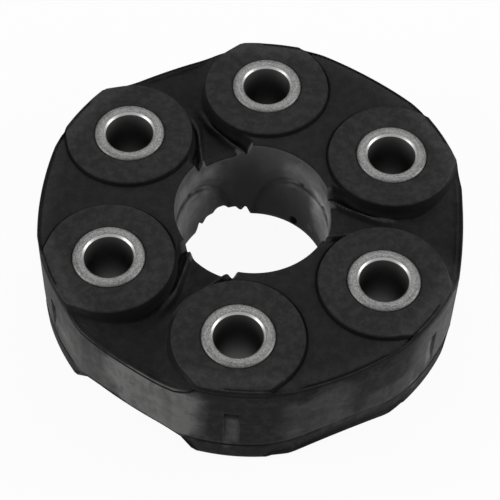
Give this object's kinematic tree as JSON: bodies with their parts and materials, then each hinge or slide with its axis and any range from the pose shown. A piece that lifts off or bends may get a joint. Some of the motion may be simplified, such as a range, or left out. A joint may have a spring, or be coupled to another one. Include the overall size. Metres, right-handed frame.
{
  "type": "propshaft joint",
  "caption": "Flexible propshaft joint: a thick moulded rubber ring with steel bolt sleeves, cord loops between them inside the rubber, and a round middle hole.",
  "frame": {"origin": "centre of the bolt circle in the middle plane, which is also the centroid", "axes": "+Z along the shafts' axis; +Y towards the axis of sleeve_2; +X through the middle of a thin link"},
  "size_m": [0.1069, 0.109, 0.033],
  "materials": {
    "rubber": "moulded satin black with faint flow marks",
    "sleeve_steel": "turned, bright chamfers, bore dull",
    "collar_steel": "pressed, dull",
    "cord": "wound polyester cord"
  },
  "bodies": {
    "root": {"rubber_body": "rubber", "sleeve_1": "sleeve_steel", "sleeve_2": "sleeve_steel", "sleeve_3": "sleeve_steel", "sleeve_4": "sleeve_steel", "sleeve_5": "sleeve_steel", "sleeve_6": "sleeve_steel", "outer_collar_top_1": "collar_steel", "outer_collar_top_2": "collar_steel", "outer_collar_top_3": "collar_steel", "outer_collar_top_4": "collar_steel", "outer_collar_top_5": "collar_steel", "outer_collar_top_6": "collar_steel", "inner_collar_top_1": "collar_steel", "inner_collar_top_2": "collar_steel", "inner_collar_top_3": "collar_steel", "inner_collar_top_4": "collar_steel", "inner_collar_top_5": "collar_steel", "inner_collar_top_6": "collar_steel", "inner_collar_bottom_1": "collar_steel", "inner_collar_bottom_2": "collar_steel", "inner_collar_bottom_3": "collar_steel", "inner_collar_bottom_4": "collar_steel", "inner_collar_bottom_5": "collar_steel", "inner_collar_bottom_6": "collar_steel", "outer_collar_bottom_1": "collar_steel", "outer_collar_bottom_2": "collar_steel", "outer_collar_bottom_3": "collar_steel", "outer_collar_bottom_4": "collar_steel", "outer_collar_bottom_5": "collar_steel", "outer_collar_bottom_6": "collar_steel", "drive_cord_top_1": "cord", "drive_cord_bottom_1": "cord", "overrun_cord_1": "cord", "drive_cord_top_2": "cord", "drive_cord_bottom_2": "cord", "overrun_cord_2": "cord", "drive_cord_top_3": "cord", "drive_cord_bottom_3": "cord", "overrun_cord_3": "cord"}
  },
  "joints": []
}
